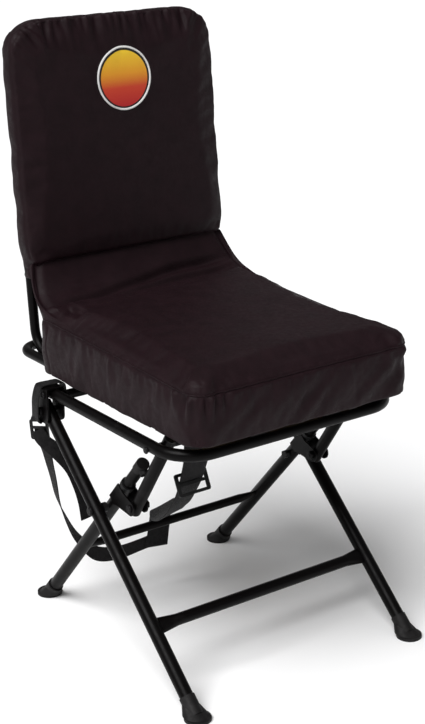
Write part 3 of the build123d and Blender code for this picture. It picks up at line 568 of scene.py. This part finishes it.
def build_seat():
    """A boxed cushion: swollen, gathered at its seam, and hollow over the seat frame."""
    start_half = SEAT_HALF - SEAT_START_INSET
    start_front, start_rear = SEAT_FRONT + SEAT_START_INSET, SEAT_REAR - SEAT_START_INSET
    seat = pad_block("seat_cushion", start_half, start_front, start_rear, SEAT_BASE,
                     SEAT_TOP - SEAT_START_INSET, SEAT_CORNER, 2.0, 17.0, SEAT_REAR_CORNER)
    remesh(seat, VOXEL)
    points = get_points(seat)
    inset = outline_inset(points, start_half, start_front, start_rear, SEAT_CORNER)
    on_seam = hill(points[:, 2], SEAT_SEAM - 2, 3.0) * (inset < 6.0)
    on_base = (points[:, 2] < SEAT_BASE + 5.0).astype(float)
    inflate(seat, np.clip(on_seam + on_base, 0, 1), SEAT_PUFF)
    subdivide(seat)

    points = get_points(seat)
    inset = outline_inset(points, SEAT_HALF, SEAT_FRONT, SEAT_REAR, SEAT_CORNER)
    below = SEAT_SEAM - points[:, 2]
    angle = np.arctan2(points[:, 1], points[:, 0])
    around = angle * 230.0
    side = smoothstep(below, -2.0, 8.0) * (inset < 12)
    corner = np.maximum(0, 1 - np.hypot(np.abs(points[:, 0]) - 190, points[:, 1] + 204) / 75)
    corner *= np.where(points[:, 0] < 0, 1.0, 0.4)
    # corner puckers, slanting folds down the sides, small gathers at the seam, and the rear seam
    amount = 9.5 * corner * streaks(around, below, 8.0, 60.0, 1.0) * hill(below, 8.0, 26.0) * side
    slanted = streaks(around + 0.9 * below, below, 30.0, 90.0, 2.0)
    amount += 4.2 * side * slanted * hill(below, 38.0, 34.0)
    amount += 1.3 * side * streaks(around, below, 9.0, 50.0, 4.0) * hill(below, 4.0, 12.0)
    amount -= 1.4 * side * hill(points[:, 1], SEAT_REAR - 32, 1.8)
    # broad lumps on the top, and the groove along the seam
    top = smoothstep(points[:, 2], SEAT_SEAM + 4, SEAT_TOP - 2)
    amount += top * 1.3 * field(points, 90.0, 5.0)
    amount -= 2.2 * hill(below, 0.0, 2.4) * (inset < 14)
    push(seat, amount)

    points = get_points(seat)
    inset = outline_inset(points, SEAT_HALF, SEAT_FRONT, SEAT_REAR, SEAT_CORNER)
    # inside the skirt, the underside lies higher, over the frame
    pocket = (points[:, 2] < SEAT_BASE + 3.0) & (inset > 6.5)
    points[pocket, 2] = FRAME_CLEAR
    points[:, 2] = np.maximum(points[:, 2], SEAT_BASE - 1.0)
    share = np.clip((points[:, 2] - FRAME_CLEAR) / (SEAT_SEAM - FRAME_CLEAR), 0, 1)
    points[:, 2] += seat_rise(points[:, 1]) * share
    set_points(seat, to_row(points))
    for side in (-1.0, 1.0):
        cut_box(seat, (side * SLOT_X - SLOT_HALF, SLOT_Y[0], SLOT_Z[0]),
                (side * SLOT_X + SLOT_HALF, SLOT_Y[1], SLOT_Z[1]))
    finish_piece(seat, "cover_cloth", "seat")
    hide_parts("seat_cover", "seat_foam")
    return seat


def press_seat(obj):
    """The piece gets its own copy of its mesh."""
    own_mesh(obj)


def surface_line(pad, path, outward):
    """Moves each point of a line in or out until it lies on a pad's surface."""
    line = []
    for point, way in zip(path, outward):
        origin = Vector(to_row(point + way * 30.0))
        hit, place, _, _ = pad.ray_cast(origin, -Vector(way), distance=0.06)
        line.append(np.array(place) / MM - (0, SWIVEL_Y, 0) if hit else point)
    return np.array(line)


def build_seat_seam(seat):
    """The piping round the cushion's top panel."""
    outline = rounded_outline(SEAT_HALF, SEAT_FRONT, SEAT_REAR, SEAT_CORNER, 0.0, 14,
                              SEAT_REAR_CORNER)
    stations = [(x, y, SEAT_SEAM + seat_rise(y)) for x, y in outline + outline[:1]]
    path, _ = spline_points(stations, 4.0)
    path = path[:-1]
    centre = np.array((0.0, (SEAT_FRONT + SEAT_REAR) / 2, SEAT_SEAM))
    reach = np.array((SEAT_HALF - SEAT_CORNER, 180.0, 0.0))
    middle = np.clip(path - centre, -reach, reach) + centre
    middle[:, 2] = path[:, 2]
    outward = path - middle
    outward /= np.linalg.norm(outward, axis=1, keepdims=True)
    line = surface_line(seat, path, outward)
    seam = tube_along("seat_seam", line + outward * 0.1, 1.5, closed=True)
    finish_piece(seam, "cover_cloth", "seat")
    return seam


# ---- back pad -----------------------------------------------------------------
def build_back():
    """The pad is made lying down, face up, then stood on the recline."""
    start_half, start_top = BACK_HALF - BACK_START_INSET, BACK_TOP - BACK_START_INSET
    back = pad_block("back_pad", start_half, BACK_SKIRT, start_top, -BACK_THICK + 2, -2.0,
                     BACK_CORNER, 10.0, 10.0)
    points = get_points(back)
    # the lower corners are square
    low_end = points[:, 1] < BACK_SKIRT + BACK_CORNER
    square = low_end & (np.abs(points[:, 0]) > start_half - BACK_CORNER)
    share = smoothstep(BACK_SKIRT + BACK_CORNER - points[:, 1], 0, BACK_CORNER)[square]
    wide = np.abs(points[:, 0])
    wide[square] = np.maximum(wide[square], (start_half - 6) * share + wide[square] * (1 - share))
    points[:, 0] = np.copysign(wide, points[:, 0])
    set_points(back, points)
    remesh(back, VOXEL)
    points = get_points(back)
    inset = outline_inset(points, start_half, BACK_SKIRT - BACK_CORNER, start_top, BACK_CORNER)
    rim = hill(points[:, 2], -11.0, 3.0) + hill(points[:, 2], -BACK_THICK + 11.0, 3.0)
    crease = hill(points[:, 1], BACK_CREASE, 5.0) * (points[:, 2] > -14)
    foot = (points[:, 1] < BACK_SKIRT + 6).astype(float)
    inflate(back, np.clip(rim * (inset < 5) + crease + foot, 0, 1), BACK_PUFF)
    subdivide(back)

    points = get_points(back)
    inset = outline_inset(points, BACK_HALF, BACK_SKIRT - BACK_CORNER, BACK_TOP, BACK_CORNER)
    from_top = BACK_TOP - points[:, 1]
    face = smoothstep(points[:, 2], -20, -6)
    ends = np.maximum(np.abs(points[:, 0]) - (BACK_HALF - 60), 0)
    around = points[:, 0] + np.sign(points[:, 0]) * 0.7 * from_top * (ends > 0)
    near_top = np.minimum(from_top, np.hypot(np.maximum(60 - ends, 0), from_top) + 0.4 * from_top)
    # gathers along the top seam, longer folds under them, ripples down the sides, and lumps
    amount = 5.5 * face * streaks(around, from_top, 10.0, 70.0, 11.0) * hill(near_top, 4.0, 30.0)
    slanted = streaks(around + 0.3 * from_top, from_top, 26.0, 120.0, 12.0)
    amount += 2.2 * face * slanted * hill(near_top, 10.0, 60.0)
    ripples = streaks(points[:, 1], inset, 34.0, 60.0, 13.0)
    amount += 1.8 * ripples * hill(inset, 0.0, 16.0) * (from_top > 20)
    amount += 1.1 * face * field(points, 110.0, 15.0)
    # the crease over the flap, the flatter sleeve below it, and the groove along the face's seam
    tuck = smoothstep(points[:, 2], -30, -4) * smoothstep(inset, 0, 14)
    amount -= 13.0 * hill(points[:, 1], BACK_CREASE - 2, 7.0) * tuck
    amount -= 6.0 * (1 - smoothstep(points[:, 1], BACK_CREASE - 8, BACK_CREASE)) * tuck
    amount -= 1.3 * hill(points[:, 2], -11.0, 2.2) * (inset < 8)
    push(back, amount)

    points = get_points(back)
    inset = outline_inset(points, BACK_HALF, BACK_SKIRT - BACK_CORNER, BACK_TOP, BACK_CORNER)
    depth = np.minimum(-points[:, 2], BACK_THICK + points[:, 2])
    # the sleeve is open at its lower end
    pocket = (points[:, 1] < BACK_SKIRT + 3) & (inset > 5) & (depth > 5)
    points[pocket, 1] = BACK_SKIRT + 18
    stood = on_back(np.stack([points[:, 0], -points[:, 2], points[:, 1]], axis=1))
    set_points(back, to_row(stood))
    back.data.flip_normals()
    finish_piece(back, "cover_cloth", "backrest")
    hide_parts("back_cover", "back_foam")
    return back


# ---- flap between the back and the seat ---------------------------------------
FLAP_HALF = 182.0
FLAP_PROFILE = [(258.0, 597.0), (243.0, 569.0), (228.0, 552.0), (205.0, 541.0), (172.0, 537.0),
                (138.0, 535.5), (110.0, 534.5)]
FLAP_EDGE = 0.84                     # where the side panels begin, as a share of the half width
PANEL_TOP = (184.0, 262.0, 584.0)    # each side panel's rear edge, from the pad's lower corner
PANEL_FOOT = (204.0, 200.0, 506.0)   # to the cushion's rear corner
PANEL_TURN = 0.62                    # how far down the flap the panel reaches that corner
FLAP_FOLDS = ((0.40, -0.13, 12.0, 0.045), (0.54, -0.18, 10.5, 0.040), (0.67, -0.10, 7.0, 0.034))
FLAP_CLOTH = 1.2


def build_flap(seat):
    """Cloth from the pad's crease down on to the seat, with a gusset on each side."""
    profile, length = spline_points([(0.0, y, z) for y, z in FLAP_PROFILE], 3.5)
    rows, columns = len(profile), 120
    points, faces = [], []
    for i in range(rows):
        t = i / (rows - 1)
        run = profile[min(i + 1, rows - 1)] - profile[max(i - 1, 0)]
        run /= np.linalg.norm(run)
        out = np.array((0.0, run[2], -run[1]))
        edge_x = FLAP_HALF + 21 * t + 9 * math.sin(math.pi * min(1.0, t / 0.85))
        for k in range(columns + 1):
            u = 2 * k / columns - 1
            v = min(1.0, abs(u) / FLAP_EDGE)
            x = math.copysign(edge_x * v, u)
            point = np.array((x, profile[i][1], profile[i][2]))
            ridge = 0.0
            for level, slope, height, width in FLAP_FOLDS:
                centre = level + slope * u + 0.03 * math.sin(4 * u + level * 9)
                reach = smoothstep(u, -0.9, -0.5) * (1 - smoothstep(u, 0.3 + 0.5 * level, 0.9))
                ridge += height * reach * math.exp(-((t - centre) / width) ** 2)
            sag = -4.0 * math.sin(math.pi * t) * (1 - v * v)
            lump = 3.0 * noise.noise(Vector((x / 60, t * 2.0, 3.0)))
            fade = smoothstep(t, 0.0, 0.12) * (1 - smoothstep(t, 0.82, 1.0))
            fade = fade * (1 - smoothstep(v, 0.93, 1.0))
            point -= out * (ridge + sag + lump) * fade
            # further down, the flap settles on the cushion
            above = Vector(to_row((x * 0.985, point[1], 620.0)))
            hit, place, _, _ = seat.ray_cast(above, Vector((0, 0, -1)))
            if hit:
                lift = 2.5 - 3.9 * smoothstep(t, 0.6, 1.0)
                lift = lift + (ridge + lump) * fade * (1 - smoothstep(t, 0.6, 0.9))
                point[2] += (place[2] / MM + lift - point[2]) * smoothstep(t, 0.50, 0.82)
            # a rolled edge, where the side panel turns down
            roll = 7.0 * hill(abs(u), FLAP_EDGE - 0.015, 0.028)
            point -= out * roll * (1 - smoothstep(t, 0.6, 0.85))
            if abs(u) > FLAP_EDGE:
                panel = (abs(u) - FLAP_EDGE) / (1 - FLAP_EDGE)
                side = math.copysign(1.0, u)
                foot = np.array(PANEL_FOOT) * (side, 1, 1)
                rear = np.array(PANEL_TOP) * (side, 1, 1)
                rear = rear + (foot - rear) * min(1.0, t / PANEL_TURN)
                rear[1] -= 90.0 * max(0.0, t - PANEL_TURN)
                rear[2] = rear[2] + (point[2] - 14 - rear[2]) * smoothstep(t, PANEL_TURN, 0.9)
                bulge = np.array((side, 0.25, 0.0)) * 9.0 * math.sin(math.pi * panel) * (1 - t)
                share = panel * (1 - 0.55 * smoothstep(t, 0.8, 1.0))
                point = point + (rear - point) * share + bulge
            points.append(point)
    width = columns + 1
    for i in range(rows - 1):
        for k in range(columns):
            a, b = i * width + k, (i + 1) * width + k
            faces.append([a, a + 1, b + 1, b])
    flap = mesh_object("cover_flap_cloth", to_row(points), faces)
    thick = flap.modifiers.new("thick", "SOLIDIFY")
    thick.thickness = FLAP_CLOTH * MM
    thick.offset = 1.0
    subdivide(flap)
    finish_piece(flap, "cover_cloth")
    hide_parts("cover_flap")
    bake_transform(flap)
    return flap


# ---- patch --------------------------------------------------------------------
PATCH_R = 54.0
PATCH_X = 4.0
PATCH_HEIGHT = 312.0
PATCH_FILL = 0.044          # the shaded middle's radius, in metres
PATCH_RING = (0.0445, 0.0455)
PATCH_STITCH = 0.0009


def patch_material():
    """Stitched patch: warm yellow at the top shading to red below, inside a dark ring."""
    m = Material("patch_thread", Sheen_Weight=0.05, Specular_IOR_Level=0.2)
    parts = m.nodes.new("ShaderNodeSeparateXYZ")
    m.links.new(m.place.outputs["Object"], parts.inputs[0])
    middle = to_row(on_back((PATCH_X, 0.0, PATCH_HEIGHT)))
    height = m.map(parts.outputs[2], 0.0, 1.0, middle[2] - PATCH_FILL, middle[2] + PATCH_FILL)
    mottled = m.math("ADD", height, m.math("MULTIPLY", m.noise(900.0, 2.0), 0.05))
    fill = m.ramp(mottled, [(0.0, rgb(0.42, 0.012, 0.018)), (0.36, rgb(0.55, 0.05, 0.02)),
                            (0.62, rgb(0.72, 0.30, 0.02)), (1.0, rgb(0.80, 0.52, 0.03))])
    across = m.math("SUBTRACT", parts.outputs[0], float(middle[0]))
    up = m.math("SUBTRACT", parts.outputs[2], float(middle[2]))
    square = m.math("ADD", m.math("MULTIPLY", across, across), m.math("MULTIPLY", up, up))
    ring = m.map(m.math("SQRT", square, 0.0), 0.0, 1.0, *PATCH_RING)
    mix = m.nodes.new("ShaderNodeMix")
    mix.data_type = "RGBA"
    m.links.new(ring, mix.inputs["Factor"])
    m.links.new(fill, mix.inputs["A"])
    mix.inputs["B"].default_value = rgb(0.010, 0.009, 0.009)
    m.links.new(mix.outputs["Result"], m.shader.inputs["Base Color"])
    m.connect(m.map(m.noise(500.0, 2.0), 0.5, 0.65, 0.3, 0.7), "Roughness")
    stitches = m.math("SINE", m.math("MULTIPLY", parts.outputs[2], 2 * math.pi / PATCH_STITCH), 0.0)
    m.connect(m.bump(stitches, 0.4, 0.0002), "Normal")
    return m.material


def build_patch(back):
    """A plain round cloth patch with a raised rim, laid on the pad's face."""
    rings, sides = 14, 72
    points, faces = [], []
    for i in range(rings + 1):
        radius = PATCH_R * i / rings
        for k in range(sides):
            angle = 2 * math.pi * k / sides
            x = PATCH_X + radius * math.cos(angle)
            w = PATCH_HEIGHT + radius * math.sin(angle)
            start = Vector(to_row(on_back((x, -25.0, w))))
            way = Vector(on_back((0, 1.0, 0))) - Vector(on_back((0, 0, 0)))
            hit, place, _, _ = back.ray_cast(start, way, distance=0.08)
            place = place if hit else Vector(to_row(on_back((x, 0.0, w))))
            lift = 0.0012 if i < rings else -0.0006
            points.append(np.array(place - way * lift))
    for i in range(rings):
        for k in range(sides):
            a, b = i * sides, (i + 1) * sides
            faces.append([a + k, b + k, b + (k + 1) % sides, a + (k + 1) % sides])
    patch = mesh_object("back_patch_cloth", points, faces)
    finish_piece(patch, "cover_cloth", "backrest", patch_material())
    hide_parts("back_patch")
    outer = [np.array(points[(rings - 1) * sides + k]) / MM - (0, SWIVEL_Y, 0)
             for k in range(sides)]
    rim = tube_along("back_patch_rim", outer, 1.7, closed=True)
    pale = woven("patch_rim_thread", (0.62, 0.61, 0.60), (0.78, 0.77, 0.76),
                 0.8, 0.55, 0.1, (0.9, 0.9, 0.9))
    finish_piece(rim, "cover_cloth", "backrest", pale)
    return patch


# ---- straps -------------------------------------------------------------------
# Each route is a list of (point, direction of the webbing's width).
STRAP_THICK = 1.7
WIDE = 48.0
NARROW = 25.0
ANCHOR = 21.0
ROD = (-113.5, 399.3)       # the front rod's axis, as (y, z)
LOOP_R = 8.6                # from that axis to the middle of the webbing
WIDE_ROUTE = [
    ((-125.0, ROD[0] + 4.0, ROD[1] - 9.0), (1.0, 0.0, 0.0)),
    ((-124.0, -104.0, 356.0), (1.0, 0.0, 0.0)),
    ((-121.0, -84.0, 312.0), (1.0, 0.1, 0.0)),
    ((-113.0, -48.0, 264.0), (1.0, 0.2, 0.0)),
    ((-94.0, 10.0, 218.0), (1.0, 0.3, 0.0)),
    ((-60.0, 82.0, 184.0), (1.0, 0.3, 0.1)),
    ((-22.0, 140.0, 168.0), (1.0, 0.2, 0.1)),
    ((-8.0, 170.0, 138.0), (1.0, 0.1, 0.1)),
    ((-10.0, 174.0, 104.0), (1.0, 0.05, 0.15)),
    ((-14.0, 175.0, 74.0), (1.0, 0.0, 0.2)),
]
NARROW_ROUTE = [
    ((6.0, 178.5, 91.0), (0.1, 0.0, 1.0)),
    ((-46.0, 180.0, 83.0), (0.1, -0.1, 1.0)),
    ((-92.0, 184.0, 80.0), (0.1, 0.1, 1.0)),
    ((-128.0, 190.0, 88.0), (0.4, 0.5, 1.0)),
    ((-156.0, 196.0, 118.0), (0.6, 0.9, 0.6)),
    ((-178.0, 199.0, 160.0), (0.5, 1.0, 0.3)),
    ((-193.0, 200.0, 206.0), (0.2, 1.0, 0.1)),
    ((-202.0, 200.0, 256.0), (0.0, 1.0, 0.0)),
    ((-209.0, 201.5, 292.0), (-0.2, 1.0, 0.0)),
    ((-214.0, 204.0, 314.0), (-0.5, 1.0, 0.0)),
    ((-216.0, 204.5, 334.0), (-0.6, 1.0, 0.0)),
]
TAIL_ROUTE = [
    ((-226.5, 198.0, 334.0), (-0.6, 1.0, 0.0)),
    ((-220.0, 190.0, 318.0), (-0.85, 0.7, -0.1)),
    ((-199.0, 181.0, 294.0), (-1.0, 0.3, -0.2)),
    ((-179.0, 177.0, 266.0), (-1.0, 0.0, -0.25)),
    ((-165.0, 175.0, 232.0), (-1.0, 0.0, -0.2)),
    ((-157.0, 174.0, 200.0), (-1.0, 0.0, -0.1)),
    ((-152.0, 174.0, 166.0), (-1.0, 0.0, 0.0)),
]
ANCHOR_ROUTE = [
    ((-223.5, 198.0, 353.0), (-0.4, 1.0, 0.0)),
    ((-233.8, 188.0, 358.0), (0.0, 1.0, 0.0)),
    ((-237.5, 181.0, 392.0), (0.0, 1.0, 0.0)),
    ((-231.6, 180.0, 414.8), (0.0, 1.0, 0.0)),
    ((-226.6, 180.0, 418.6), (0.0, 1.0, 0.0)),
    ((-210.0, 180.0, 419.0), (0.0, 1.0, 0.0)),
    ((-191.0, 180.0, 417.5), (0.0, 1.0, 0.0)),
    ((-185.5, 181.0, 406.0), (0.0, 1.0, 0.0)),
    ((-185.0, 193.0, 368.0), (0.0, 1.0, 0.0)),
    ((-199.0, 203.0, 354.0), (0.0, 1.0, 0.0)),
    ((-219.0, 206.0, 353.0), (-0.4, 1.0, 0.0)),
]
LOOP_ROUTE = [((-125.0, ROD[0] + LOOP_R * math.sin(a), ROD[1] + LOOP_R * math.cos(a)),
               (1.0, 0.0, 0.0))
              for a in np.radians(np.linspace(185, 505, 14))]


def build_straps():
    """The carry strap's five webbings; the three loose ones each get their own copy of their mesh."""
    hung = (
        ("strap_wide_web", "strap_wide", WIDE_ROUTE, WIDE, ["front_cross_rod", "rear_crossbar"]),
        ("strap_narrow_web", "strap_narrow", NARROW_ROUTE, NARROW, ["strap_buckle"]),
        ("strap_tail_web", "strap_tail", TAIL_ROUTE, NARROW, ["strap_buckle"]),
        ("strap_anchor_web", "strap_anchor", ANCHOR_ROUTE, ANCHOR, ["rear_brackets"]),
        ("strap_rod_loop_web", "strap_rod_loop", LOOP_ROUTE, WIDE, ["front_cross_rod"]),
    )
    for name, node, route, width, rests_on in hung:
        ripple = 0.0 if "loop" in name else 0.4
        strap, length = webbing(name, route, width, STRAP_THICK, ripple=ripple)
        finish_piece(strap, "strap_webbing", "base")
        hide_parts(node)
        if node not in ("strap_rod_loop", "strap_anchor"):
            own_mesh(strap)


seat = build_seat()
seam = build_seat_seam(seat)
back = build_back()
build_flap(seat)
build_patch(back)
build_straps()
press_seat(seat)
press_seat(seam)


# ---- stage, light and camera --------------------------------------------------
FLOOR_HALF = 60.0            # metres, so that the floor fills the picture
SKY_STRENGTH = 0.27
KEY_ENERGY = 3.7
KEY_ANGLE = math.radians(44)
CAMERA_LENS = 80.17
CAMERA_SENSOR = 36.0
CAMERA_SHIFT = (-0.0149, 0.0081)
CAMERA_PLACE = (-1423.9, -1953.4, 1298.8)
CAMERA_AZIMUTH = math.radians(-36.178)
CAMERA_ELEVATION = math.radians(19.360)
CAMERA_ROLL = math.radians(0.318)
KEY_FROM = (-2.3, -0.6, 3.3)


def build_stage():
    """A white floor and sky, with one broad key light from above the chair's right side."""
    floor_material = Material("studio_floor", Base_Color=rgb(0.93, 0.93, 0.935), Roughness=0.85)
    signs = ((-1, -1), (1, -1), (1, 1), (-1, 1))
    corners = [(FLOOR_HALF * a, FLOOR_HALF * b, 0.0) for a, b in signs]
    floor = mesh_object("studio_floor", corners, [(0, 1, 2, 3)])
    floor.data.materials.append(floor_material.material)
    world = bpy.data.worlds.new("studio")
    bpy.context.scene.world = world
    world.use_nodes = True
    background = world.node_tree.nodes["Background"]
    background.inputs["Color"].default_value = rgb(1.0, 1.0, 1.0)
    background.inputs["Strength"].default_value = SKY_STRENGTH
    key = bpy.data.lights.new("key", "SUN")
    key.energy = KEY_ENERGY
    key.angle = KEY_ANGLE
    lamp = bpy.data.objects.new("key", key)
    bpy.context.scene.collection.objects.link(lamp)
    lamp.location = KEY_FROM
    lamp.rotation_euler = (-Vector(KEY_FROM)).to_track_quat("-Z", "Y").to_euler()


def build_camera():
    """The camera looks along its azimuth and elevation, with a slight roll."""
    data = bpy.data.cameras.new("camera")
    data.lens = CAMERA_LENS
    data.sensor_width = CAMERA_SENSOR
    data.sensor_fit = "AUTO"
    data.shift_x, data.shift_y = CAMERA_SHIFT
    camera = bpy.data.objects.new("camera", data)
    bpy.context.scene.collection.objects.link(camera)
    camera.location = to_row(CAMERA_PLACE)
    camera.rotation_mode = "QUATERNION"
    ca, sa = math.cos(CAMERA_AZIMUTH), math.sin(CAMERA_AZIMUTH)
    ce, se = math.cos(CAMERA_ELEVATION), math.sin(CAMERA_ELEVATION)
    away = Vector((sa * ce, -ca * ce, se))
    turn = (-away).to_track_quat("-Z", "Y")
    camera.rotation_quaternion = turn @ Quaternion((0.0, 0.0, 1.0), -CAMERA_ROLL)
    camera.rotation_mode = "XYZ"
    bpy.context.scene.camera = camera


build_stage()
build_camera()
bpy.context.scene.view_settings.view_transform = "Standard"
